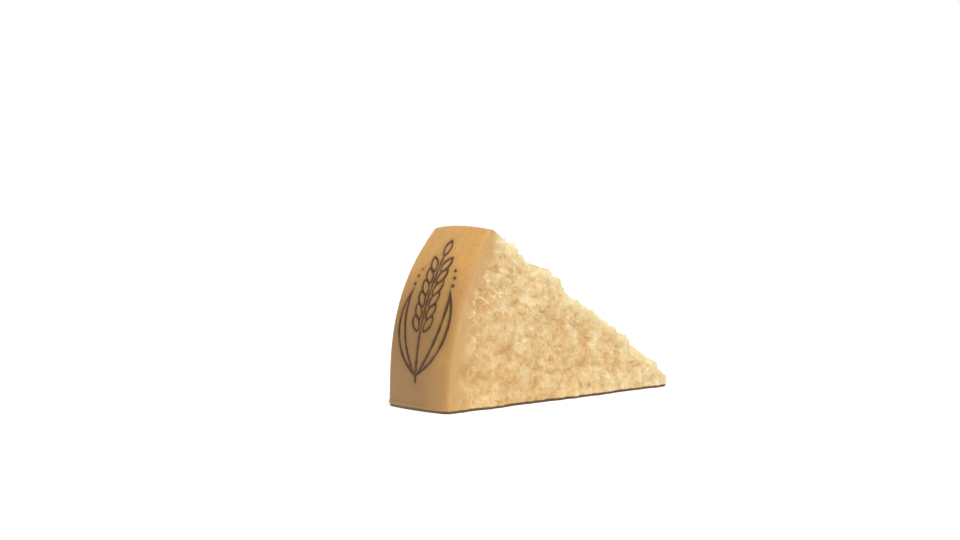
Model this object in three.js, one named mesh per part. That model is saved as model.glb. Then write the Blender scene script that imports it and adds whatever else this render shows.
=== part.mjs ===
// A wedge of long-aged hard cheese, broken from a tall barrel-sided wheel.
//
// Millimetres, +Z up. The wedge stands on the flat side of the wheel. +X runs from the
// rind to the tip, and the face that shows in front looks towards -Y. The origin is the
// centre of the bounding box, at its bottom.
//
// The wheel's side is the rind: upright at the foot, leaning in towards the top. Both
// long sides and the slope between them are broken, in lumps, behind a clean band that
// the knife scored along the rind. The tip is blunt.

import * as THREE from "three";
import { mergeVertices } from "three/addons/utils/BufferGeometryUtils.js";

// Driving dimensions.
const wheelHeight = 180; // the full height of the wheel's side
const wheelRadius = 225; // of the wheel's foot
const wedgeLength = 331; // from the middle of the rind's foot to the tip
const rindChord = 85; // across the rind, straight from edge to edge
const rindTurn = THREE.MathUtils.degToRad(11.4); // the chord's turn from square to the wedge
const tipWidth = 14;
const tipHeight = 17;
const crownHeight = 3.2; // the rind's upper edge is this much higher in its middle
const farRise = 2.4; // and this much higher at its far end

// How far the rind leans in at the top, and how late up the height it starts to.
const lean = { nearTop: 59, farTop: 53.5, nearPower: 2.1, farPower: 2.9 };

// The broken faces: lumps of two sizes, proud of each face and sunk into it.
const scoredBand = 15; // clean cut, in from the rind
const bandToRough = 18; // over which the lumps reach their full height
const coarseLumps = { size: 34, height: 3.4, seed: 27 };
const fineLumps = { size: 15, height: 1.9, seed: 21 };
const lumpSink = 1.2; // the broken faces lie this much inside the cut ones
const edgeReach = 9; // how far one face's lumps carry round its edge
const footReach = 7; // the lumps fade out over the foot, which broke straight
const footShare = 0.25; // what is left of them at the very foot
const edgeRound = 5; // radius where two broken faces meet
const tipRound = 7;

// Large dips and swells down the slope: how far along it, how high, and how wide.
const slopeSwells = [
  { along: 0.04, height: 2, width: 12 },
  { along: 0.29, height: 5.5, width: 13 },
  { along: 0.345, height: 4, width: 6 },
  { along: 0.415, height: -8, width: 9 },
  { along: 0.5, height: 2, width: 5 },
  { along: 0.6, height: 5, width: 7 },
  { along: 0.64, height: -4, width: 6 },
  { along: 0.76, height: 6.5, width: 7 },
  { along: 0.85, height: -5, width: 20 },
  { along: 0.87, height: -4, width: 6 },
  { along: 0.95, height: 4, width: 7 },
];

// Faces of the grid: along the wedge, across it and up it.
const cells = { along: 46, across: 14, up: 26 };

const lerp = THREE.MathUtils.lerp;
const smoothstep = THREE.MathUtils.smoothstep;

// A point on the ground at half a width to the near (-1) or far (+1) side of the axis.
function groundPoint(x, halfWidth, side) {
  return new THREE.Vector3(
    x - side * halfWidth * Math.sin(rindTurn),
    side * halfWidth * Math.cos(rindTurn),
    0,
  );
}
const rindNear = groundPoint(0, rindChord / 2, -1);
const rindFar = groundPoint(0, rindChord / 2, 1);
const tipNear = groundPoint(wedgeLength, tipWidth / 2, -1);
const tipFar = groundPoint(wedgeLength, tipWidth / 2, 1);

// Outward directions of the faces.
const up = new THREE.Vector3(0, 0, 1);
const nearOut = tipNear.clone().sub(rindNear).cross(up).normalize();
const farOut = up.clone().cross(tipFar.clone().sub(rindFar)).normalize();
const rindOut = up.clone().cross(rindNear.clone().sub(rindFar)).negate().normalize();
const slopeFall = Math.atan2(wheelHeight - tipHeight, wedgeLength - lean.nearTop);
const slopeOut = new THREE.Vector3(Math.sin(slopeFall), 0, Math.cos(slopeFall));
const tipOut = rindOut.clone().negate();

// The rind at a share of the way across (0 near, 1 far) and up: an arc of the wheel,
// carried up and leant in along the wedge.
function rindPoint(across, height) {
  const offCentre = (across - 0.5) * rindChord;
  const bulge =
    Math.sqrt(wheelRadius ** 2 - offCentre ** 2) -
    Math.sqrt(wheelRadius ** 2 - (rindChord / 2) ** 2);
  const foot = rindNear.clone().lerp(rindFar, across);
  const inward = tipNear.clone().lerp(tipFar, across).sub(foot).normalize();
  const leanTop = lerp(lean.nearTop, lean.farTop, across);
  const leanPower = lerp(lean.nearPower, lean.farPower, across);
  const crown = crownHeight * 4 * across * (1 - across) + farRise * across;
  return foot
    .addScaledVector(rindOut, bulge)
    .addScaledVector(inward, leanTop * height ** leanPower)
    .addScaledVector(up, height * (wheelHeight + crown));
}

function tipPoint(across, height) {
  return tipNear.clone().lerp(tipFar, across).setZ(height * tipHeight);
}

// The plain wedge: straight lines from each point of the rind to its like on the tip.
function wedgePoint(along, across, height) {
  return rindPoint(across, height).lerp(tipPoint(across, height), along);
}

// A repeatable random number from 0 to 1 for a cell of a 3-D lattice.
function cellRandom(i, j, k, seed) {
  let h = Math.imul(i, 73856093) ^ Math.imul(j, 19349663);
  h ^= Math.imul(k, 83492791) ^ Math.imul(seed, 2654435761);
  h = Math.imul(h ^ (h >>> 16), 2246822507);
  h = Math.imul(h ^ (h >>> 13), 3266489909);
  return ((h ^ (h >>> 16)) >>> 0) / 4294967296;
}

// The upper envelope of one dome in each cell, each at its own place and height, so
// that round lumps meet in creases. Its mean is 0, and it runs from about -2 to 1.7.
function lumps(point, size, seed) {
  const q = [point.x / size, point.y / size, point.z / size];
  const [i0, j0, k0] = q.map(Math.floor);
  let best = -Infinity;
  for (let i = i0 - 1; i <= i0 + 1; i++)
    for (let j = j0 - 1; j <= j0 + 1; j++)
      for (let k = k0 - 1; k <= k0 + 1; k++) {
        const dx = q[0] - i - cellRandom(i, j, k, seed);
        const dy = q[1] - j - cellRandom(i, j, k, seed + 1);
        const dz = q[2] - k - cellRandom(i, j, k, seed + 2);
        const lift = cellRandom(i, j, k, seed + 3);
        best = Math.max(best, lift - 1.6 * (dx * dx + dy * dy + dz * dz));
      }
  return 2.2 * (best - 0.1);
}

function slopeSwell(along) {
  const length = (wedgeLength - lean.nearTop) / Math.cos(slopeFall);
  return slopeSwells.reduce((sum, swell) => {
    const off = ((along - swell.along) * length) / swell.width;
    return sum + swell.height * Math.exp(-off * off);
  }, 0);
}

// How far two faces' outer skins move in where they meet in a round edge, at depths
// first and second under them.
function roundOff(first, second, radius) {
  const u = radius - first;
  const v = radius - second;
  if (u <= 0 || v <= 0) return [0, 0];
  const shrink = 1 - radius / Math.max(radius, Math.hypot(u, v));
  return [u * shrink, v * shrink];
}

// Moves a point of the plain wedge to where the cheese broke.
function broken(along, across, height) {
  const point = wedgePoint(along, across, height);
  const rindToTip = wedgePoint(0, across, height).distanceTo(wedgePoint(1, across, height));
  const width = wedgePoint(along, 0, height).distanceTo(wedgePoint(along, 1, height));
  const topHeight = wedgePoint(along, across, 1).z;
  const depth = {
    near: across * width,
    far: (1 - across) * width,
    slope: (1 - height) * topHeight * Math.cos(slopeFall),
    tip: (1 - along) * rindToTip,
    rind: along * rindToTip,
    foot: height * topHeight,
  };
  const rough = smoothstep(depth.rind, scoredBand, scoredBand + bandToRough);
  const overFoot = lerp(footShare, 1, smoothstep(depth.foot, 0, footReach));
  const relief =
    coarseLumps.height * lumps(point, coarseLumps.size, coarseLumps.seed) +
    fineLumps.height * lumps(point, fineLumps.size, fineLumps.seed) -
    lumpSink;
  const faces = [
    [nearOut, depth.near, relief],
    [farOut, depth.far, relief],
    [slopeOut, depth.slope, relief + slopeSwell(along)],
    [tipOut, depth.tip, relief],
  ];
  for (const [out, under, lift] of faces) {
    const share = Math.exp(-((under / edgeReach) ** 2)) * rough * overFoot;
    point.addScaledVector(out, lift * share);
  }
  const edges = [
    [nearOut, depth.near, slopeOut, depth.slope, edgeRound * rough],
    [farOut, depth.far, slopeOut, depth.slope, edgeRound * rough],
    [nearOut, depth.near, tipOut, depth.tip, tipRound],
    [farOut, depth.far, tipOut, depth.tip, tipRound],
    [slopeOut, depth.slope, tipOut, depth.tip, tipRound],
  ];
  for (const [firstOut, first, secondOut, second, radius] of edges) {
    const [u, v] = roundOff(first, second, radius);
    point.addScaledVector(firstOut, -u).addScaledVector(secondOut, -v);
  }
  if (height === 0) point.z = 0; // the foot stays flat
  return point;
}

// A box of cells, each of its points carried to its place on the broken wedge.
function wedgeGeometry() {
  const box = new THREE.BoxGeometry(1, 1, 1, cells.along, cells.across, cells.up);
  box.translate(0.5, 0.5, 0.5);
  const at = box.attributes.position;
  for (let n = 0; n < at.count; n++) {
    const point = broken(at.getX(n), at.getY(n), at.getZ(n));
    at.setXYZ(n, point.x, point.y, point.z);
  }
  box.deleteAttribute("normal");
  box.deleteAttribute("uv");
  return mergeVertices(box, 1e-3);
}

const geometry = wedgeGeometry();
geometry.computeBoundingBox();
const middle = geometry.boundingBox.getCenter(new THREE.Vector3());
geometry.translate(-middle.x, -middle.y, 0);
geometry.computeVertexNormals();

const cheese = new THREE.Mesh(
  geometry,
  new THREE.MeshStandardMaterial({ color: 0xe4c792, roughness: 0.6, metalness: 0 }),
);
cheese.name = "cheese_wedge";

const part = new THREE.Group();
part.add(cheese);
export default part;
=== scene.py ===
import math

import bpy
import numpy as np
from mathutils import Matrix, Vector


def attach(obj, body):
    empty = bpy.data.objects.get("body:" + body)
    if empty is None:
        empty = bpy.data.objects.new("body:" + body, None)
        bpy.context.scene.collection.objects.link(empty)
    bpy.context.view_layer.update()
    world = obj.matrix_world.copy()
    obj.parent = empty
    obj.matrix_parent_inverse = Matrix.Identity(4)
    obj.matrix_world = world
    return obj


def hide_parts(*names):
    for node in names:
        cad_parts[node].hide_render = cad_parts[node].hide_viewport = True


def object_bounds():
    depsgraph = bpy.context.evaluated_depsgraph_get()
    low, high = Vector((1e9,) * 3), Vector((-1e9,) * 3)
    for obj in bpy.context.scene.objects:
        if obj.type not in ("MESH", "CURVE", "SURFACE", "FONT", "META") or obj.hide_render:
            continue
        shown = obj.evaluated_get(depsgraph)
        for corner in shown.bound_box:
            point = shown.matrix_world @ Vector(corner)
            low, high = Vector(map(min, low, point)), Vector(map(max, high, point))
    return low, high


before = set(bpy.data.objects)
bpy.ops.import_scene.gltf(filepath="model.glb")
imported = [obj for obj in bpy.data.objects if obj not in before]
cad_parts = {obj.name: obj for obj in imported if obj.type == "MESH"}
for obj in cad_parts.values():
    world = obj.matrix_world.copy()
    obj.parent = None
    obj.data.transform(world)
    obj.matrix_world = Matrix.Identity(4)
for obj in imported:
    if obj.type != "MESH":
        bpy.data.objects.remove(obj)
cadBox = [list(corner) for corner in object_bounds()]
node = "cheese_wedge"
print("frame: the wedge's box is", [round(c, 4) for c in cadBox[0] + cadBox[1]])

# Sizes are in millimetres. The wedge is the one that the frame holds, so that the
# lumps of both lie alike.
wedge = {
    "height": 180.0,  # of the wheel's side
    "wheelRadius": 225.0,
    "length": 331.0,  # from the middle of the rind's foot to the tip
    "rindChord": 85.0,  # straight across the rind
    "rindTurn": math.radians(11.4),  # the chord's turn from square to the wedge
    "tipWidth": 14.0,
    "tipHeight": 17.0,
    "crown": 3.2,  # the rind's upper edge is this much higher in its middle
    "farRise": 2.4,  # and this much higher at its far end
    "leanNear": 59.0,  # how far the rind leans in at the top
    "leanFar": 53.5,
    "powerNear": 2.1,  # the greater, the later up the height it leans
    "powerFar": 2.9,
}
breakage = {
    "scoredBand": 15.0,  # the clean cut behind the rind
    "bandToRough": 18.0,  # the way over which the lumps grow behind it
    "coarse": {"size": 34.0, "height": 3.4, "seed": 27},
    "fine": {"size": 15.0, "height": 1.9, "seed": 21},
    "sink": 1.2,  # the broken faces lie this much inside the cut ones
    "edgeReach": 9.0,  # how deep one face's lumps are felt
    "footReach": 7.0,  # the lumps fade out down to the foot
    "footShare": 0.25,  # and this much of them is left there
    "edgeRound": 5.0,  # the radius where two broken faces meet
    "tipRound": 7.0,
    # dips and swells down the slope: how far along, how high, how wide
    "swells": [
        (0.04, 2, 12), (0.29, 5.5, 13), (0.345, 4, 6), (0.415, -8, 9), (0.5, 2, 5), (0.6, 5, 7),
        (0.64, -4, 6), (0.76, 6.5, 7), (0.85, -5, 20), (0.87, -4, 6), (0.95, 4, 7),
    ],
}


def smoothStep(x, low, high):
    # 3 t^2 - 2 t^3, with t the share of the way from low to high
    t = np.clip((x - low) / (high - low), 0.0, 1.0)
    return t * t * (3.0 - 2.0 * t)


def bell(x, middle, width):
    # exp(-((x - middle) / width)^2)
    return np.exp(-(((x - middle) / width) ** 2))


def unitOf(v):
    # v divided by its own length
    return v / np.linalg.norm(v, axis=-1, keepdims=True)


def cellRandom(cell, seed):
    # a repeatable number from 0 to 1: the cell's three indices and the seed, multiplied
    # by large odd numbers, mixed by exclusive or, and stirred twice
    stir = np.uint32
    parts = [
        (index.astype(np.int64) * factor & 0xFFFFFFFF).astype(np.uint32)
        for index, factor in zip(cell, (73856093, 19349663, 83492791))
    ]
    h = parts[0] ^ parts[1] ^ parts[2] ^ stir(seed * 2654435761 & 0xFFFFFFFF)
    h = (h ^ (h >> stir(16))) * stir(2246822507)
    h = (h ^ (h >> stir(13))) * stir(3266489909)
    return (h ^ (h >> stir(16))).astype(np.float64) / 4294967296.0


def shards(points, size, seed, dome=1.6, tilt=0.0, soft=0.0):
    # the highest of the domes of the 27 cells round each point: a cell's dome is its
    # random height, plus tilt times its random lean times the way from its middle, less
    # dome times the square of that way; returned with the winning cell's own number. A
    # soft meeting is soft * log(sum of exp(each dome / soft)).
    q = points / size
    base = np.floor(q).astype(np.int64)
    best = np.full(len(q), -np.inf)
    own = np.zeros(len(q))
    total = np.zeros(len(q))
    for step in np.ndindex(3, 3, 3):
        cell = [base[:, n] + step[n] - 1 for n in range(3)]
        away = [q[:, n] - cell[n] - cellRandom(cell, seed + n) for n in range(3)]
        rise = cellRandom(cell, seed + 3) - dome * sum(a * a for a in away)
        if tilt:
            rise += tilt * sum(
                a * (2.0 * cellRandom(cell, seed + 5 + n) - 1.0) for n, a in enumerate(away)
            )
        wins = rise > best
        best = np.where(wins, rise, best)
        own = np.where(wins, cellRandom(cell, seed + 9), own)
        if soft:
            total += np.exp(rise / soft)
    return (soft * np.log(total) if soft else best), own


domeLevel = 0.1  # how high the domes' upper skin lies in the mean
domeGain = 2.2  # brings its ups and downs to a spread of about 1


def lumps(points, size, seed, dome=1.6, soft=0.0, level=domeLevel):
    # gain times (the domes' upper skin less its level)
    return domeGain * (shards(points, size, seed, dome, soft=soft)[0] - level)


def groundPoint(x, halfWidth, side):
    # x along the wedge, plus side * halfWidth along a line turned from square to it by
    # the rind's turn
    turn = wedge["rindTurn"]
    return np.array([x - side * halfWidth * math.sin(turn), side * halfWidth * math.cos(turn), 0.0])


rindNear = groundPoint(0.0, wedge["rindChord"] / 2, -1)
rindFar = groundPoint(0.0, wedge["rindChord"] / 2, 1)
tipNear = groundPoint(wedge["length"], wedge["tipWidth"] / 2, -1)
tipFar = groundPoint(wedge["length"], wedge["tipWidth"] / 2, 1)
upward = np.array([0.0, 0.0, 1.0])
nearOut = unitOf(np.cross(tipNear - rindNear, upward))
farOut = unitOf(np.cross(upward, tipFar - rindFar))
rindOut = unitOf(np.cross(upward, rindFar - rindNear))
tipOut = -rindOut
slopeRun = wedge["length"] - wedge["leanNear"]
slopeFall = math.atan2(wedge["height"] - wedge["tipHeight"], slopeRun)
slopeOut = np.array([math.sin(slopeFall), 0.0, math.cos(slopeFall)])
brokenFaces = {"near": nearOut, "far": farOut, "slope": slopeOut, "tip": tipOut}
uprightFaces = {"near": nearOut, "far": farOut, "tip": tipOut, "rind": rindOut}


def rindLean(across):
    # how far the top leans in and the power it leans by, straight from near to far
    lean = wedge["leanNear"] + (wedge["leanFar"] - wedge["leanNear"]) * across
    power = wedge["powerNear"] + (wedge["powerFar"] - wedge["powerNear"]) * across
    return lean, power


def rindPoint(across, height):
    # an arc of the wheel over the chord, carried straight up, and moved along the wedge by
    # the top's lean times a power of the height
    a, h = across[:, None], height[:, None]
    half = wedge["rindChord"] / 2
    bulge = np.sqrt(wedge["wheelRadius"] ** 2 - ((2 * a - 1) * half) ** 2)
    bulge -= math.sqrt(wedge["wheelRadius"] ** 2 - half**2)
    foot = rindNear + (rindFar - rindNear) * a
    inward = unitOf(tipNear + (tipFar - tipNear) * a - foot)
    lean, power = rindLean(a)
    crown = wedge["crown"] * 4 * a * (1 - a) + wedge["farRise"] * a
    return foot + rindOut * bulge + inward * lean * h**power + upward * h * (wedge["height"] + crown)


def rindWay(across, height):
    # the rind's outward direction: level at the foot, tipped up by the lean's slope
    lean, power = rindLean(across)
    slope = lean * power * np.maximum(height, 1e-6) ** (power - 1) / wedge["height"]
    return unitOf(rindOut + upward * slope[:, None])


def tipPoint(across, height):
    # straight across the tip's foot, and straight up
    foot = tipNear + (tipFar - tipNear) * across[:, None]
    return foot + upward * height[:, None] * wedge["tipHeight"]


def plainPoint(along, across, height):
    # straight lines from each point of the rind to its like on the tip
    start = rindPoint(across, height)
    return start + (tipPoint(across, height) - start) * along[:, None]


def depthsUnder(along, across, height):
    # how deep each point lies under each face of the plain wedge: its share of the way
    # from that face to the opposite one, times that way's length
    start, end = np.zeros_like(along), np.ones_like(along)
    toTip = plainPoint(end, across, height) - plainPoint(start, across, height)
    toFar = plainPoint(along, end, height) - plainPoint(along, start, height)
    length, width = np.linalg.norm(toTip, axis=1), np.linalg.norm(toFar, axis=1)
    topHeight = plainPoint(along, across, end)[:, 2]
    return {
        "near": across * width,
        "far": (1 - across) * width,
        "slope": (1 - height) * topHeight * math.cos(slopeFall),
        "tip": (1 - along) * length,
        "rind": along * length,
        "foot": height * topHeight,
    }


def wayOut(faces, deep, radius):
    # the way that the faces near each point look: each face's own way times how much less
    # deep than the radius the point lies under it
    return sum(
        out * np.clip(1.0 - deep[name] / radius, 0.0, 1.0)[:, None] for name, out in faces.items()
    )


def roundOff(first, second, radius):
    # how far each of two faces moves in where both lie less than a radius deep: what is
    # outside the circle is drawn back to it
    u, v = radius - first, radius - second
    shrink = 1.0 - radius / np.maximum(np.maximum(radius, np.hypot(u, v)), 1e-9)
    inside = (u > 0) & (v > 0)
    return np.where(inside, u * shrink, 0.0), np.where(inside, v * shrink, 0.0)


# The softer look of the frame's lumps, and the round edges. "Above" holds in the wedge's
# upper half and "below" in its lower.
softness = {
    "halves": (0.3, 0.7),  # below turns into above between these shares of the height
    "lumpsStart": {"above": 10.0, "below": 15.0},  # on the sides, this far from the rind
    "crease": 0.09,  # how softly the lumps meet
    "level": 0.12,  # how high lumps that meet so lie in the mean
    "sideShare": 0.7,  # of the lumps, on the two sides
    "tipShare": 0.45,  # of those, close to the tip
    "tipCalm": (35.0, 8.0),  # between these distances from the tip
    "tipSwell": (3.6, 8.5, 6.0),  # how far the tip stands out, how high up, over what height
    "tipRounds": (25.0, 7.0),  # the tip's radius comes in between these distances from it
    "cutEdge": 1.5,  # the radius of the clean band's upper edges
    "rindEdges": {"near": 6.0, "far": 1.5, "slope": 2.2},  # their radii
}


def byHalf(height, values):
    # the value below times the lower share, plus the value above times the upper share
    raised = smoothStep(height, *softness["halves"])
    return values["below"] * (1 - raised) + values["above"] * raised


def lumpy(plain, along, height, deep):
    # moves each point out of the face it lies near by (lumps + swells) times a bell curve
    # of its depth; returned with the two sizes of lumps and how broken the slope is
    coarse, fine = breakage["coarse"], breakage["fine"]
    lumpsOf = [
        lumps(plain, kind["size"], kind["seed"], soft=softness["crease"], level=softness["level"])
        for kind in (coarse, fine)
    ]
    relief = coarse["height"] * lumpsOf[0] + fine["height"] * lumpsOf[1] - breakage["sink"]
    slopeLength = slopeRun / math.cos(slopeFall)
    swells = sum(
        high * bell(along, middle, wide / slopeLength)
        for middle, high, wide in breakage["swells"]
    )
    calm = 1 - (1 - softness["tipShare"]) * smoothStep(deep["tip"], *softness["tipCalm"])
    tipOutBy, tipUpBy, tipWidth = softness["tipSwell"]
    sideRelief = softness["sideShare"] * calm * relief
    lifts = {
        "near": sideRelief,
        "far": sideRelief,
        "slope": relief + swells,
        "tip": sideRelief + tipOutBy * bell(deep["foot"], tipUpBy, tipWidth),
    }
    cleanBand, band = breakage["scoredBand"], byHalf(height, softness["lumpsStart"])
    onSlope = smoothStep(deep["rind"], cleanBand, cleanBand + breakage["bandToRough"])
    onSides = smoothStep(deep["rind"], band, band + breakage["bandToRough"])
    fromFoot = smoothStep(deep["foot"], 0, breakage["footReach"])
    overFoot = breakage["footShare"] + (1 - breakage["footShare"]) * fromFoot
    place = plain.copy()
    for name, out in brokenFaces.items():
        share = bell(deep[name], 0.0, breakage["edgeReach"]) * overFoot
        share *= onSlope if name == "slope" else onSides
        place += out * (lifts[name] * share)[:, None]
    return place, lumpsOf, onSlope


def rounded(place, deep, broken, outOfRind):
    # draws what lies outside the ball that touches the broken faces back to it, by
    # radius * (1 - 1 / |way|); the radius grows from the clean band to the tip. Returned
    # with the way that the broken faces look.
    radius = softness["cutEdge"] + (breakage["edgeRound"] - softness["cutEdge"]) * broken
    nearTip = smoothStep(deep["tip"], *softness["tipRounds"])
    radius += (breakage["tipRound"] - breakage["edgeRound"]) * nearTip
    way = wayOut(brokenFaces, deep, radius)
    reach = np.linalg.norm(way, axis=1)
    place = place - way * (radius * (1.0 - 1.0 / np.maximum(reach, 1.0)))[:, None]
    for name, rindRadius in softness["rindEdges"].items():
        u, v = roundOff(deep["rind"], deep[name], np.full_like(broken, rindRadius))
        place -= outOfRind * u[:, None] + brokenFaces[name] * v[:, None]
    return place, way / np.maximum(reach, 1e-6)[:, None]


# What the frame's solid leaves out: the flakes and grains of the break, and the foot.
grain = {
    # their size and height, the shape of each, and how much of them the slope has
    "flakes": {"size": 8.5, "height": 0.85, "seed": 61, "dome": 0.75, "tilt": 1.0, "slope": 0.5},
    "crumbs": {"size": 4.0, "height": -0.5, "seed": 87, "dome": 0.8, "tilt": 0.9, "slope": 0.85},
    "grit": {"size": 2.1, "height": 0.3, "seed": 142, "dome": 1.0, "tilt": 0.6, "slope": 1.3},
    "limits": (-3.2, 2.5),
    "slopeReach": 8.0,  # how deep the slope's share of them goes
    "starts": {"above": 3.0, "below": 3.0},  # how far from the rind the roughness starts
    "over": {"above": 10.0, "below": 24.0},  # and over what way it grows
    "strays": {"by": 4.0, "size": 13.0, "seed": 5},  # how far its start strays, in what steps
    "nearest": 1.0,  # but never closer than this
    "scored": (1.0, 1.2),  # the band's tint fades from so far past the start, so much slower
    "calmBelow": (0.4, 40.0, 100.0),  # how much finer it is low down, until how far in
    "footShare": 0.15,  # of the grains, at the very foot
    "footFade": 2.5,
    "footTuck": (1.3, 3.4),  # how far the foot draws in, and from how high
    "footLip": (0.7, 5.0, 1.8),  # the crust above it: how far it stands out, where, how wide
    "footReach": 6.0,  # how deep under the sides both are felt
}


def grainy(place, plain, way, height, deep):
    # moves each point along its way by the sum of (domes of three sizes, each less its
    # mean and divided by its spread, times its height), where the break is rough
    stray = grain["strays"]
    starts = byHalf(height, grain["starts"])
    starts = starts + stray["by"] * lumps(plain, stray["size"], stray["seed"])
    starts = np.maximum(starts, grain["nearest"])
    over = byHalf(height, grain["over"])
    gritty = smoothStep(deep["rind"], starts, starts + over)
    past, longer = grain["scored"]
    scored = 1 - smoothStep(deep["rind"], starts + past, starts + longer * over)
    finer, near, far = grain["calmBelow"]
    lowDown = 1 - smoothStep(height, *softness["halves"])
    gritty *= 1 - finer * lowDown * (1 - smoothStep(deep["rind"], near, far))
    fromFoot = smoothStep(deep["foot"], 0, grain["footFade"])
    gritty *= grain["footShare"] + (1 - grain["footShare"]) * fromFoot
    onSlope = bell(deep["slope"], 0.0, grain["slopeReach"])
    lift = np.zeros_like(height)
    tints = []
    for name in ("flakes", "crumbs", "grit"):
        kind = grain[name]
        rise, own = shards(place, kind["size"], kind["seed"], kind["dome"], kind["tilt"])
        rise = (rise - rise.mean()) / rise.std()
        lift += kind["height"] * rise * (1 + (kind["slope"] - 1) * onSlope)
        tints.append(own)
    lift = np.clip(lift, *grain["limits"])
    place = place + way * (lift * gritty * (deep["foot"] > 0))[:, None]
    return place, lift, gritty, scored, tints


def tucked(place, deep):
    # out of the upright faces by a bell curve round the lip's height, less
    # inBy * (1 - height / fromHeight)^2 at the foot
    way = wayOut(uprightFaces, deep, grain["footReach"])
    way /= np.maximum(np.linalg.norm(way, axis=1, keepdims=True), 1.0)
    inBy, fromHeight = grain["footTuck"]
    outBy, lipHeight, lipWidth = grain["footLip"]
    tuck = inBy * np.clip(1 - deep["foot"] / fromHeight, 0, 1) ** 2
    return place + way * (outBy * bell(deep["foot"], lipHeight, lipWidth) - tuck)[:, None]


# The rind's faint waves, and the ear of wheat pressed into it, measured from its middle.
rindWaves = {"size": 46.0, "seed": 33, "dome": 0.8, "height": 0.22, "inset": 8.0}
mark = {
    "middle": 101.0,  # up the rind's curve from the foot
    "stroke": 1.42,  # half a line's width
    "fineStroke": 1.1,  # the same for the grains
    "wobble": {"by": 0.6, "size": 7.0, "seed": 51, "dome": 1.0},  # how the width strays
    "depth": 1.1,
    "wall": (-0.75, 0.55),  # where the groove's wall starts and ends, across a line's edge
    "lip": (0.22, 1.0, 0.5),  # how high it is, how far out, how wide
    "stem": (-72.0, -22.0, 58.0),  # its foot, where it gets finer, and its top
    "grainPairs": 6,
    "firstGrain": -14.0,
    "grainStep": 12.5,
    "grainHalf": (9.0, 4.0),  # half its length and half its width
    "grainLean": 27.0,  # degrees
    "grainOut": 8.0,
    "bladeEnds": ((2.6, -64.0), (25.5, 17.0)),
    "bladeBulges": (17.0, 7.5),
    "dots": ((25.0, 27.0, 1.7), (24.0, 35.5, 1.45), (21.8, 43.0, 1.2)),
    "offRind": 99.0,  # the distance that the other faces have
}


def capsule(s, t, start, end):
    # the distance to a straight line between two points
    (s0, t0), (s1, t1) = start, end
    ds, dt = s1 - s0, t1 - t0
    share = np.clip(((s - s0) * ds + (t - t0) * dt) / (ds * ds + dt * dt), 0, 1)
    return np.hypot(s - s0 - share * ds, t - t0 - share * dt)


def almond(s, t, halfLength, halfWidth):
    # the signed distance to the overlap of two circles, which has a point at each end
    radius = (halfLength**2 + halfWidth**2) / (2 * halfWidth)
    off = radius - halfWidth
    s, t = np.abs(s), np.abs(t)
    pastPoint = (t - halfLength) * off > s * halfLength
    return np.where(pastPoint, np.hypot(s, t - halfLength), np.hypot(s + off, t) - radius)


def circleThrough(start, end, bulge):
    # the centre and radius of the circle through two points whose arc stands out by bulge
    (s0, t0), (s1, t1) = start, end
    half = math.hypot(s1 - s0, t1 - t0) / 2
    radius = (half * half + bulge * bulge) / (2 * bulge)
    back = (radius - bulge) / (2 * half)
    return (s0 + s1) / 2 - back * (t1 - t0), (t0 + t1) / 2 + back * (s1 - s0), radius


def markDistance(s, t):
    # the distance to the nearest line of the mark, less than 0 inside the line; the mark
    # is the same on both sides of its stem, so s is folded over it
    s = np.abs(s)
    thick, fine = mark["stroke"], mark["fineStroke"]
    foot, neck, top = mark["stem"]
    lines = [
        capsule(s, t, (0.0, foot), (0.0, neck)) - thick,
        capsule(s, t, (0.0, neck), (0.0, top)) - fine,
    ]
    halfLength, halfWidth = mark["grainHalf"]
    turn = math.radians(mark["grainLean"])
    for pair in range(mark["grainPairs"]):
        ds = s - mark["grainOut"]
        dt = t - (mark["firstGrain"] + pair * mark["grainStep"])
        across = ds * math.cos(turn) - dt * math.sin(turn)
        upAlong = ds * math.sin(turn) + dt * math.cos(turn)
        lines.append(np.abs(almond(across, upAlong, halfLength, halfWidth)) - fine)
    lines.append(np.abs(almond(s, t - top - halfLength, halfLength, halfWidth)) - fine)
    edges = []
    for bulge in mark["bladeBulges"]:
        s0, t0, radius = circleThrough(*mark["bladeEnds"], bulge)
        edges.append(np.hypot(s - s0, t - t0) - radius)
    lines.append(np.abs(np.maximum(edges[0], -edges[1])) - thick)
    distance = np.minimum.reduce(lines)
    for s0, t0, radius in mark["dots"]:
        distance = np.minimum(distance, np.hypot(s - s0, t - t0) - radius)
    return distance


def upTheCurve(height):
    # the length of the rind's middle profile from the foot to each height
    steps = np.linspace(0.0, 1.0, 400)  # half a millimetre each
    line = rindPoint(np.full_like(steps, 0.5), steps)
    run = np.concatenate([[0.0], np.cumsum(np.linalg.norm(np.diff(line, axis=0), axis=1))])
    return np.interp(height, steps, run)


def rindRelief(plain, along, across, height, deep):
    # on the rind alone: waves that fade out at its edges, less the mark's depth inside its
    # lines, plus a lip along them; returned with the distance to the nearest line
    onRind = along == 0
    s = (across - 0.5) * wedge["rindChord"]
    t = upTheCurve(height) - mark["middle"]
    wobble = mark["wobble"]
    strays = shards(plain, wobble["size"], wobble["seed"], wobble["dome"])[0] - domeLevel
    away = np.where(onRind, markDistance(s, t) + wobble["by"] * strays, mark["offRind"])
    lipHigh, lipOut, lipWidth = mark["lip"]
    pressed = lipHigh * bell(away, lipOut, lipWidth)
    pressed -= mark["depth"] * (1 - smoothStep(away, *mark["wall"]))
    inset = np.minimum.reduce([deep[name] for name in ("near", "far", "foot", "slope")])
    waves = lumps(plain, rindWaves["size"], rindWaves["seed"], rindWaves["dome"])
    waves = rindWaves["height"] * waves * smoothStep(inset, 0, rindWaves["inset"])
    return np.where(onRind, pressed + waves, 0.0), away


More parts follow.
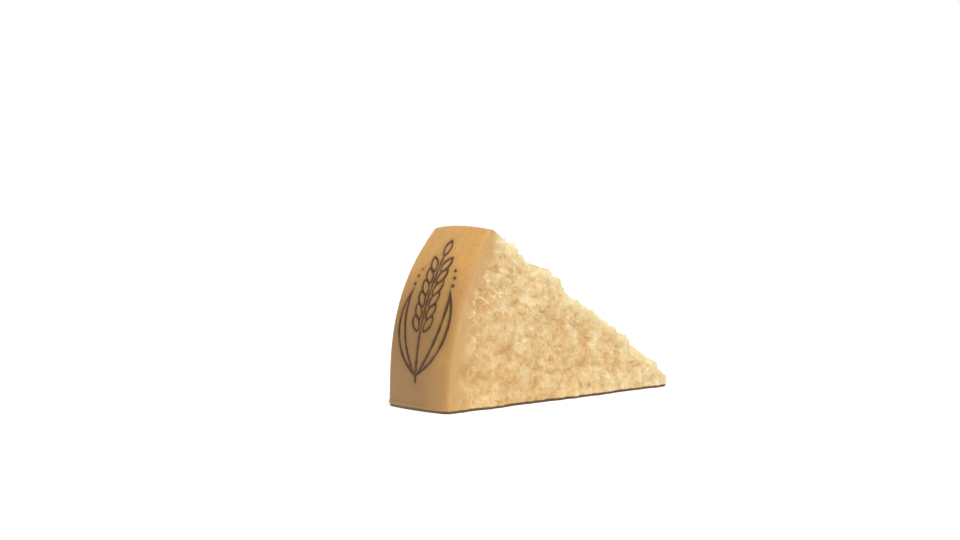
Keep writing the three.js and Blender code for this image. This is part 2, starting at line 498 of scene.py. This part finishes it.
# How the relief that the finish reads is mixed (the paste's tone paints shade in its hollows and
# highlights where it stands out), and how far its readings go.
reliefShares = {"coarse": 0.15, "fine": 0.275, "grain": 0.275}
readTo = {"rind": 60.0, "side": 30.0, "relief": 2.0, "mark": (-2.0, 30.0)}


def brokenSurface(box):
    # carries each point of a unit box to its place on the broken wedge, and works out
    # what the finish needs to know there
    along, across, height = box.T
    plain = plainPoint(along, across, height)
    deep = depthsUnder(along, across, height)
    outOfRind = rindWay(across, height)
    place, lumpsOf, broken = lumpy(plain, along, height, deep)
    place, way = rounded(place, deep, broken, outOfRind)
    place, lift, gritty, scored, tints = grainy(place, plain, way, height, deep)
    place = tucked(place, deep)
    rise, lineAway = rindRelief(plain, along, across, height, deep)
    place = place + outOfRind * rise[:, None]
    place[height == 0, 2] = 0.0

    side = np.minimum(deep["near"], deep["far"])
    pastEdge = deep["rind"] - np.minimum(side, deep["slope"])
    relief = reliefShares["coarse"] * lumpsOf[0] + reliefShares["fine"] * lumpsOf[1]
    relief = relief + reliefShares["grain"] * lift
    readings = {
        "rindDepth": np.minimum(deep["rind"], readTo["rind"]),
        "scored": scored,
        "pastEdge": np.clip(pastEdge, -readTo["side"], readTo["rind"]),
        "footDepth": deep["foot"],
        "slopeDepth": np.minimum(deep["slope"], readTo["side"]),
        "sideDepth": np.minimum(side, readTo["side"]),
        "gritty": gritty,
        "relief": np.clip(relief, -readTo["relief"], readTo["relief"]) * gritty,
        "flakeTint": tints[0],
        "crumbTint": tints[1],
        "markAway": np.clip(lineAway, *readTo["mark"]),
    }
    return place, plain, readings


mesh = {
    "cell": 1.0,  # of the grids before thinning
    "rindCell": 0.62,
    "rindRise": 200.0,  # the way up the rind that its rows are spaced over
    "edgeSteps": (0.35, 0.75, 1.2, 1.8),  # extra lines close to the rind's edges
    "edgeGap": 0.2,  # the share of a cell that another line keeps away from them
    "triangles": 192000,
}
# The flat sheet that the colours are baked to: its side, and where each face starts on
# it. The rind and the tip also have their own width and height.
sheet = {
    "side": 580.0,
    "rind": (354, 5, 86, 206.0),
    "tip": (354, 225, 16, 20),
    "near": (12, 5),
    "far": (12, 195),
    "foot": (12, 435),
    "slope": (12, 525),
}
boxSides = ("rind", "tip", "near", "far", "foot", "slope")  # in the order of the grids


def linesOf(length, cell, edges=()):
    # evenly spaced lines from 0 to 1, with a few more close to the ends that ask for them
    lines = np.linspace(0, 1, int(round(length / cell)) + 1)
    close = np.array(mesh["edgeSteps"]) / length
    for end in edges:
        group = close if end == 0 else 1 - close
        gap = np.abs(lines[:, None] - group[None, :]).min(axis=1)
        lines = np.concatenate([lines[gap > mesh["edgeGap"] * cell / length], group])
    return np.unique(lines)


def boxOfGrids(lines):
    # the six sides of a box as grids over the given lines, welded where they meet; each
    # side's faces turn so that they look outwards
    count = [len(each) for each in lines]
    weights = np.array([count[1] * count[2], count[2], 1])
    quads, sides = [], []
    for fixed in range(3):
        first, second = [n for n in range(3) if n != fixed]
        rows, columns = np.arange(count[first] - 1), np.arange(count[second] - 1)
        i, j = np.meshgrid(rows, columns, indexing="ij")
        stepI, stepJ = weights[first], weights[second]
        for end in (0, 1):
            base = i * stepI + j * stepJ + end * (count[fixed] - 1) * weights[fixed]
            ring = [base, base + stepI, base + stepI + stepJ, base + stepJ]
            inward = (end == 0) != (fixed == 1)  # as i and j turn the other way there
            ring = ring[::-1] if inward else ring
            quads.append(np.stack([corner.ravel() for corner in ring], axis=1))
            sides.append(np.full(i.size, fixed * 2 + end))
    quads, sides = np.concatenate(quads), np.concatenate(sides)
    used, quads = np.unique(quads, return_inverse=True)
    quads = quads.reshape(-1, 4)
    cell = np.stack([used // weights[0], used // weights[1] % count[1], used % count[2]], axis=1)
    return np.stack([lines[n][cell[:, n]] for n in range(3)], axis=1), quads, sides


def sheetPlaces(box, plain, side):
    # where a side of the wedge lies on the sheet, in its true proportions: the rind and
    # the tip by their shares across and up, the near and far faces seen from the side, the
    # foot from above, and the slope from above with its length x / cos(fall)
    x, y, z = plain.T
    left, low, *span = sheet[side]
    if span:
        spots = left + box[:, 1] * span[0], low + box[:, 2] * span[1]
    elif side in ("near", "far"):
        spots = left + x, low + z
    elif side == "foot":
        spots = left + x, low + y
    else:
        spots = left + x / math.cos(slopeFall), low + y
    return np.stack(spots, axis=1) / sheet["side"]


def thinnedMesh(piece, faces):
    # the piece's mesh with as many triangles as asked for, and nothing under the foot
    thin = piece.modifiers.new("thin", "DECIMATE")
    thin.ratio = mesh["triangles"] / (2 * faces)
    dg = bpy.context.evaluated_depsgraph_get()
    thinned = bpy.data.meshes.new_from_object(piece.evaluated_get(dg))
    piece.modifiers.clear()
    spots = np.zeros(3 * len(thinned.vertices))
    thinned.vertices.foreach_get("co", spots)
    spots[2::3] = np.maximum(spots[2::3], 0.0)
    thinned.vertices.foreach_set("co", spots)
    return thinned


def buildCheese(shiftX):
    # the box's grids carried to the broken surface, with the sheet and the readings; the
    # rows lie closer at the rind's edges
    lines = [
        linesOf(wedge["length"], mesh["cell"], (0,)),
        linesOf(wedge["rindChord"], mesh["rindCell"], (0, 1)),
        linesOf(mesh["rindRise"], mesh["rindCell"], (0, 1)),
    ]
    box, quads, sides = boxOfGrids(lines)
    place, plain, readings = brokenSurface(box)
    place = (place + [shiftX, 0.0, 0.0]) / 1000
    data = bpy.data.meshes.new("cheese")
    data.from_pydata(place, [], quads)
    uv = np.zeros((len(quads), 4, 2))
    for n, side in enumerate(boxSides):
        corners = quads[sides == n].ravel()
        uv[sides == n] = sheetPlaces(box[corners], plain[corners], side).reshape(-1, 4, 2)
    layer = data.uv_layers.new(name="OFBake")
    layer.uv.foreach_set("vector", uv.ravel().astype(np.float32))
    for name, values in readings.items():
        attribute = data.attributes.new(name, "FLOAT", "POINT")
        attribute.data.foreach_set("value", values.astype(np.float32))
    piece = bpy.data.objects.new("cheese", data)
    bpy.context.scene.collection.objects.link(piece)
    print("cheese: a grid of", len(place), "points and", len(quads), "faces")
    piece.data = thinnedMesh(piece, len(quads))
    bpy.data.meshes.remove(data)
    piece.data.name = "cheese"
    piece.data.shade_smooth()
    print("cheese: thinned to", len(piece.data.polygons), "faces")
    return piece


# The finish. Colours are as a picture shows them, from 0 to 255. A span is where an effect
# starts and ends: in metres along, across and up the cheese, in millimetres of depth and
# of the way to a line of the mark, and otherwise in the noise's own measure.
noises = {
    # the size of its features in millimetres, its detail and its roughness
    "patches": (30, 3, 0.55),
    "blotches": (9, 3, 0.55),
    "specks": (1.8, 2, 0.55),
    "crowds": (26, 2, 0.55),
    "streaks": (3.4, 2, 0.5),
    "veil": (12, 3, 0.55),
    "clouds": (42, 4, 0.55),
    "mottle": (4.5, 4, 0.6),
    "scorching": (14, 3, 0.55),
    "footWear": (7, 5, 0.65),
    "grit": (1.3, 3, 0.55),
    "leather": (2.6, 4, 0.65),
    "pores": (0.7, 2, 0.55),
}
pasteFinish = {
    "ramp": [
        (0.0, (202, 154, 92)), (0.3, (220, 181, 121)), (0.58, (233, 204, 150)), (1.0, (250, 238, 200)),
    ],
    "tone": 0.42,  # where on the ramp it is without the next
    # painted shade and highlight: the tone is darker in the break's hollows and paler where it stands
    # out
    "reliefShadeSway": 0.09,
    "noiseSways": {"patches": 0.8, "blotches": 0.32, "specks": 0.52},
    "readSways": {"flakeTint": 0.2, "crumbTint": 0.24},
    # what else the tone drifts with, over which span, and by how much: paler up and towards the tip is
    # painted light, where the light falls brighter; darker close to the rind is the paste's own colour
    "driftsAndPaintedLight": [
        ("up", 0.0, 0.13, 0.08), ("along", 0.03, 0.15, 0.16), ("along", 0.09, 0.16, 0.15),
        ("rindDepth", 55.0, 4.0, -0.2),
    ],
    # pale flecks: streaks drawn out down the slope, and some of the crumbs
    "fleck": (253, 240, 205),
    "streaks": {"drawn": 2.6, "distortion": 0.4, "span": (0.55, 0.68)},
    "paleCrumbs": {"span": (0.88, 1.0), "share": 0.7},
    "crowds": {"span": (0.4, 0.62), "shares": (0.15, 0.55)},
    "corner": {"along": (-0.03, -0.1), "up": (0.07, 0.12), "share": 0.35},  # more of them here
    "lowDown": {"up": (0.01, 0.07), "share": 0.5},  # and fewer here
    # the clean band that was scored along the rind
    "bandAbove": (203, 160, 107),
    "bandBelow": (204, 159, 98),
    "band": {"up": (0.04, 0.11), "share": 0.82},
    # the slope's paler tint, a painted glow of light through its thin lumps and from above, strongest
    # along its edges with the sides as a painted highlight: by the depths under it and its neighbours,
    # and its unevenness
    "top": (250, 235, 186),
    "paintedGlowSpan": {"slope": (12.0, 0.5), "rind": (1.5, 12.0), "side": (1.5, 12.0)},
    "paintedGlowShares": {"slope": 0.72, "side": 0.4},
    "veil": {"span": (0.32, 0.55), "shares": (0.6, 1.05)},
}
rindFinish = {
    "golden": (216, 165, 94),
    # browner below and towards the far side: partly the rind's own browning, partly painted shade
    # where its lower and far parts get less light
    "brownAndShade": (160, 122, 73),
    "browningAndShade": {"up": (0.168, 0.06), "across": (-0.045, 0.005), "shares": (0.55, 1.1)},
    "cloudSway": 0.7,
    "dark": (150, 110, 68),
    "mottle": {"span": (0.42, 0.7), "share": 0.16},
    "scorch": (126, 90, 54),
    "scorches": [(8.0, 0.22), (2.2, 0.5)],  # how far round the mark, and how strong
    "burn": (80, 52, 28),
    "burns": {"line": (0.5, -0.5), "span": (0.3, 0.5), "shares": (0.7, 0.97)},
    "skin": (4.0, -4.0),  # across the rind's edge, from the paste to the rind
}
footFinish = {
    # the dark band along the foot: partly the rind's dark crust seen edge-on, partly painted contact
    # shadow
    "skin": (100, 72, 44),
    "worn": (168, 124, 76),  # the underside where the skin is thin
    "under": (0.4, 0.0),  # from the sides to the underside
    "inset": (0.5, 7.0),  # from its edge inwards
    "wear": (0.25, 0.6),
    "height": (3.4, 2.2),  # how far up the skin reaches
}
surfaceFinish = {
    "grit": 1.9,  # the size of its grains
    "leather": 0.5,
    "pores": 0.12,
    "bump": {"Strength": 0.55, "Distance": 0.0006},
    "pasteRoughness": (0.5, 0.2),  # the least of it, and how much the blotches add
    "rindRoughness": (0.4, 0.12),  # the same with the mottle
    "shader": {
        "Specular IOR Level": 0.4,
        "Subsurface Weight": 0.25,
        "Subsurface Radius": (1.0, 0.55, 0.3),
        "Subsurface Scale": 0.0035,
    },
}


def linear(colour):
    # the light that a picture's colour stands for: ((c + 0.055) / 1.055)^2.4, or c / 12.92
    # where c is small
    c = np.array(colour) / 255.0
    c = np.where(c <= 0.04045, c / 12.92, ((c + 0.055) / 1.055) ** 2.4)
    return (*(float(v) for v in c), 1.0)


def addNode(tree, kind, inputs=None, **settings):
    # one node with its settings, its inputs given as numbers or as other nodes' outputs
    made = tree.nodes.new("ShaderNode" + kind)
    for name, value in settings.items():
        setattr(made, name, value)
    for socket, value in (inputs or {}).items():
        if isinstance(value, bpy.types.NodeSocket):
            tree.links.new(value, made.inputs[socket])
        else:
            made.inputs[socket].default_value = value
    return made


def calculate(tree, operation, *inputs, clamp=False):
    # one step of arithmetic on numbers and outputs
    made = addNode(tree, "Math", dict(enumerate(inputs)), operation=operation, use_clamp=clamp)
    return made.outputs[0]


def product(tree, *factors):
    # all factors multiplied
    result = factors[0]
    for factor in factors[1:]:
        result = calculate(tree, "MULTIPLY", result, factor)
    return result


def blend(tree, share, first, second):
    # first times (1 - share), plus second times share
    made = addNode(tree, "Mix", {0: share, 6: first, 7: second}, data_type="RGBA")
    return made.outputs[2]


def between(tree, value, span, to=(0.0, 1.0)):
    # eases the value's way over the span into the two ends of to
    names = ("Value", "From Min", "From Max", "To Min", "To Max")
    inputs = dict(zip(names, (value, *span, *to)))
    return addNode(tree, "MapRange", inputs, interpolation_type="SMOOTHSTEP").outputs[0]


def objectPlace(tree):
    # the point's place on the cheese, in metres
    return addNode(tree, "TexCoord").outputs["Object"]


def noise(tree, name, drawn=1.0, distortion=0.0):
    # the noise of that name at 1000 / size features a metre, which may be drawn out down
    # the slope
    size, detail, roughness = noises[name]
    place = objectPlace(tree)
    if drawn != 1.0:
        inputs = {"Vector": place, "Rotation": (0.0, slopeFall, 0.0), "Scale": (drawn, 1.0, 1.0)}
        place = addNode(tree, "Mapping", inputs, vector_type="TEXTURE").outputs[0]
    inputs = {
        "Vector": place,
        "Scale": 1000.0 / size,
        "Detail": detail,
        "Roughness": roughness,
        "Distortion": distortion,
    }
    return addNode(tree, "TexNoise", inputs).outputs["Fac"]


def grains(tree, size):
    # the distance to the nearest of scattered points, in cells of that many millimetres
    inputs = {"Vector": objectPlace(tree), "Scale": 1000.0 / size}
    return addNode(tree, "TexVoronoi", inputs).outputs["Distance"]


def read(tree, name):
    # what the mesh holds under that name
    return addNode(tree, "Attribute", attribute_name=name, attribute_type="GEOMETRY").outputs["Fac"]


def pasteToneWithPaintedLight(tree, at):
    # the start, plus each sway times (its value - 0.5), plus the drifts: painted shade in the break's
    # hollows and painted highlight where it stands out, painted light making it paler towards the tip
    # and the top, and the paste's own darker tone close to the rind
    relief, start = read(tree, "relief"), pasteFinish["tone"]
    # painted shade and highlight from the relief
    tone = calculate(tree, "MULTIPLY_ADD", relief, pasteFinish["reliefShadeSway"], start)
    sways = [(noise(tree, name), share) for name, share in pasteFinish["noiseSways"].items()]
    sways += [(read(tree, name), share) for name, share in pasteFinish["readSways"].items()]
    for value, share in sways:
        tone = calculate(tree, "MULTIPLY_ADD", calculate(tree, "SUBTRACT", value, 0.5), share, tone)
    # painted light: paler towards the top and the tip; and the paste's own darker tone by the rind
    for name, start, end, share in pasteFinish["driftsAndPaintedLight"]:
        tone = calculate(tree, "ADD", between(tree, at[name], (start, end), to=(0.0, share)), tone)
    return tone


def pasteFlecks(tree, at, gritty):
    # the greater of the streaks and the pale crumbs, times how crowded they are, times how
    # rough the break is
    streaks = pasteFinish["streaks"]
    drawnOut = noise(tree, "streaks", drawn=streaks["drawn"], distortion=streaks["distortion"])
    crumbs = pasteFinish["paleCrumbs"]
    pale = between(tree, read(tree, "crumbTint"), crumbs["span"], to=(0.0, crumbs["share"]))
    fleck = calculate(tree, "MAXIMUM", between(tree, drawnOut, streaks["span"]), pale)
    crowds, corner, lowDown = pasteFinish["crowds"], pasteFinish["corner"], pasteFinish["lowDown"]
    crowded = between(tree, noise(tree, "crowds"), crowds["span"], to=crowds["shares"])
    inCorner = between(tree, at["up"], corner["up"], to=(0.0, corner["share"]))
    inCorner = product(tree, between(tree, at["along"], corner["along"]), inCorner)
    crowded = calculate(tree, "ADD", crowded, inCorner)
    low = between(tree, at["up"], lowDown["up"], to=(lowDown["share"], 1.0))
    return product(tree, fleck, product(tree, crowded, low), gritty)


def pasteColour(tree, at, gritty):
    # the ramp at the tone, then the flecks, the scored band and the pale top, a painted glow and
    # highlight, laid over it
    ramp = addNode(tree, "ValToRGB", {0: pasteToneWithPaintedLight(tree, at)})
    stops = ramp.color_ramp.elements
    for n, (where, tint) in enumerate(pasteFinish["ramp"]):
        stop = stops[n] if n < 2 else stops.new(where)
        stop.position, stop.color = where, linear(tint)
    flecks = pasteFlecks(tree, at, gritty)
    colour = blend(tree, flecks, ramp.outputs["Color"], linear(pasteFinish["fleck"]))
    raised = between(tree, at["up"], pasteFinish["band"]["up"])
    band = blend(tree, raised, linear(pasteFinish["bandBelow"]), linear(pasteFinish["bandAbove"]))
    scored = product(tree, read(tree, "scored"), pasteFinish["band"]["share"])
    colour = blend(tree, scored, colour, band)
    spans, shares, veil = pasteFinish["paintedGlowSpan"], pasteFinish["paintedGlowShares"], pasteFinish["veil"]
    # painted light: the slope's pale glow, strongest along its edges with the sides
    top = product(
        tree,
        between(tree, read(tree, "slopeDepth"), spans["slope"], to=(0.0, shares["slope"])),
        between(tree, at["rindDepth"], spans["rind"]),
        between(tree, read(tree, "sideDepth"), spans["side"], to=(1.0, shares["side"])),
        between(tree, noise(tree, "veil"), veil["span"], to=veil["shares"]),
    )
    return blend(tree, top, colour, linear(pasteFinish["top"]))


def rindColour(tree, at, mottle):
    # golden above, browner below and to the far side, partly the rind's own browning and partly
    # painted shade where less light falls there, mottled, and scorched round the mark
    browningAndShade, burns = rindFinish["browningAndShade"], rindFinish["burns"]
    far = between(tree, at["across"], browningAndShade["across"], to=browningAndShade["shares"])
    brownAndShade = product(tree, between(tree, at["up"], browningAndShade["up"]), far)
    cloud = calculate(tree, "SUBTRACT", noise(tree, "clouds"), 0.5)
    brownAndShade = calculate(tree, "MULTIPLY_ADD", cloud, rindFinish["cloudSway"], brownAndShade, clamp=True)
    colour = blend(tree, brownAndShade, linear(rindFinish["golden"]), linear(rindFinish["brownAndShade"]))
    dark = product(tree, mottle, rindFinish["mottle"]["share"])
    colour = blend(tree, dark, colour, linear(rindFinish["dark"]))
    away = read(tree, "markAway")
    for reach, share in rindFinish["scorches"]:
        scorched = between(tree, away, (reach, 0.0), to=(0.0, share))
        colour = blend(tree, scorched, colour, linear(rindFinish["scorch"]))
    uneven = between(tree, noise(tree, "scorching"), burns["span"], to=burns["shares"])
    burnt = product(tree, between(tree, away, burns["line"]), uneven)
    return blend(tree, burnt, colour, linear(rindFinish["burn"]))


def withFootSkinAndShadow(tree, colour):
    # the foot's dark skin, partly the rind's crust and partly painted contact shadow, laid over the
    # colour, worn lighter on the underside
    depth = read(tree, "footDepth")
    worn = product(
        tree,
        between(tree, depth, footFinish["under"]),
        between(tree, read(tree, "sideDepth"), footFinish["inset"]),
        between(tree, noise(tree, "footWear"), footFinish["wear"]),
    )
    skin = blend(tree, worn, linear(footFinish["skin"]), linear(footFinish["worn"]))
    # the dark crust with its painted contact shadow, along the foot
    return blend(tree, between(tree, depth, footFinish["height"]), colour, skin)


def fineRelief(tree, gritty):
    # (grit + grains) times how rough the break is, plus leather and pores: what the mesh
    # is too coarse for
    grit = calculate(tree, "ADD", noise(tree, "grit"), grains(tree, surfaceFinish["grit"]))
    pores = product(tree, noise(tree, "pores"), surfaceFinish["pores"])
    leather = calculate(tree, "MULTIPLY_ADD", noise(tree, "leather"), surfaceFinish["leather"], pores)
    relief = calculate(tree, "ADD", product(tree, grit, gritty), leather)
    return addNode(tree, "Bump", {"Height": relief, **surfaceFinish["bump"]}).outputs[0]


def roughnessOf(tree, skin, mottle):
    # the paste's and the rind's own, each least + more times its pattern, mixed by the skin
    least, more = surfaceFinish["pasteRoughness"]
    ofPaste = calculate(tree, "MULTIPLY_ADD", noise(tree, "blotches"), more, least)
    least, more = surfaceFinish["rindRoughness"]
    ofRind = calculate(tree, "MULTIPLY_ADD", mottle, more, least)
    return addNode(tree, "Mix", {0: skin, 2: ofPaste, 3: ofRind}).outputs[0]


def agedCheese():
    # the one material: paste, rind and foot by how deep each point lies
    made = bpy.data.materials.new("agedCheese")
    made.use_nodes = True
    tree = made.node_tree
    tree.nodes.clear()
    place = addNode(tree, "SeparateXYZ", {0: objectPlace(tree)}).outputs
    at = dict(zip(("along", "across", "up"), place), rindDepth=read(tree, "rindDepth"))
    gritty = read(tree, "gritty")
    mottle = between(tree, noise(tree, "mottle"), rindFinish["mottle"]["span"])
    skin = between(tree, read(tree, "pastEdge"), rindFinish["skin"])
    colour = blend(tree, skin, pasteColour(tree, at, gritty), rindColour(tree, at, mottle))
    colour = withFootSkinAndShadow(tree, colour)
    inputs = {
        "Base Color": colour,
        "Roughness": roughnessOf(tree, skin, mottle),
        "Normal": fineRelief(tree, gritty),
        **surfaceFinish["shader"],
    }
    shader = addNode(tree, "BsdfPrincipled", inputs)
    addNode(tree, "OutputMaterial", {"Surface": shader.outputs[0]})
    print("finish: one material of", len(tree.nodes), "nodes")
    return made


# The studio: a white floor, soft lights, and the camera.
studio = {
    "floorSide": 30.0,
    "floor": (250, 250, 250),
    "floorRoughness": 0.9,
    "floorGlow": 0.3,  # a lit table
    "sky": 0.37,
    # each light: the way it comes from, its light on white paper, its softness in degrees
    "key": {"from": (-0.12, -0.42, 0.9), "light": 0.64, "soft": 45.0},
    "rim": {"from": (-0.1, 0.8, 0.6), "light": 0.1, "soft": 60.0},
}
camera = {
    "sensor": 36.0,
    "lens": 44.15,
    "place": (-606.5, -998.4, 178.6),  # from the foot of the rind's middle
    "yaw": 34.33,
    "pitch": -1.91,
}
white = (1, 1, 1, 1)


def layFloor():
    # a square, white and a little bright of itself
    side = studio["floorSide"] / 2
    corners = [(-side, -side, 0), (side, -side, 0), (side, side, 0), (-side, side, 0)]
    data = bpy.data.meshes.new("floor")
    data.from_pydata(corners, [], [(0, 1, 2, 3)])
    floor = bpy.data.objects.new("floor", data)
    bpy.context.scene.collection.objects.link(floor)
    paper = bpy.data.materials.new("paper")
    paper.use_nodes = True
    shader = paper.node_tree.nodes["Principled BSDF"]
    shader.inputs["Base Color"].default_value = linear(studio["floor"])
    shader.inputs["Roughness"].default_value = studio["floorRoughness"]
    shader.inputs["Emission Color"].default_value = white
    shader.inputs["Emission Strength"].default_value = studio["floorGlow"]
    data.materials.append(paper)


def hangSky():
    # white to the camera, and dimmer as a light
    world = bpy.data.worlds.new("sky")
    bpy.context.scene.world = world
    world.use_nodes = True
    tree = world.node_tree
    toCamera = addNode(tree, "LightPath").outputs["Is Camera Ray"]
    strength = addNode(tree, "MapRange", {"Value": toCamera, "To Min": studio["sky"], "To Max": 1.0})
    background = tree.nodes["Background"]
    tree.links.new(strength.outputs[0], background.inputs["Strength"])
    background.inputs["Color"].default_value = white


def setLights():
    # suns whose strength is pi times their light on white paper
    for name in ("key", "rim"):
        sun = bpy.data.lights.new(name, "SUN")
        sun.energy = studio[name]["light"] * math.pi
        sun.angle = math.radians(studio[name]["soft"])
        stand = bpy.data.objects.new(name, sun)
        bpy.context.scene.collection.objects.link(stand)
        stand.rotation_euler = Vector(studio[name]["from"]).to_track_quat("Z", "Y").to_euler()


def placeCamera(shiftX):
    # at its place, turned from +Y towards +X by the yaw, and up from level by the pitch
    lens = bpy.data.cameras.new("camera")
    lens.sensor_width = camera["sensor"]
    lens.lens = camera["lens"]
    stand = bpy.data.objects.new("camera", lens)
    bpy.context.scene.collection.objects.link(stand)
    x, y, z = camera["place"]
    stand.location = ((x + shiftX) / 1000, y / 1000, z / 1000)
    stand.rotation_euler = (math.radians(90 + camera["pitch"]), 0, -math.radians(camera["yaw"]))
    bpy.context.scene.camera = stand


# The rind's foot touches the frame's box, whose middle is the origin.
acrossRind = np.linspace(0, 1, 200)
rindFoot = rindPoint(acrossRind, np.zeros_like(acrossRind))
shiftX = cadBox[0][0] * 1000 - rindFoot[:, 0].min()
placeCamera(shiftX)
layFloor()
hangSky()
setLights()
bpy.context.scene.view_settings.view_transform = "Standard"
print("studio: floor, sky, two lights and the camera")
cheese = buildCheese(shiftX)
cheese.data.materials.append(agedCheese())
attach(cheese, "root")
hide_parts(node)
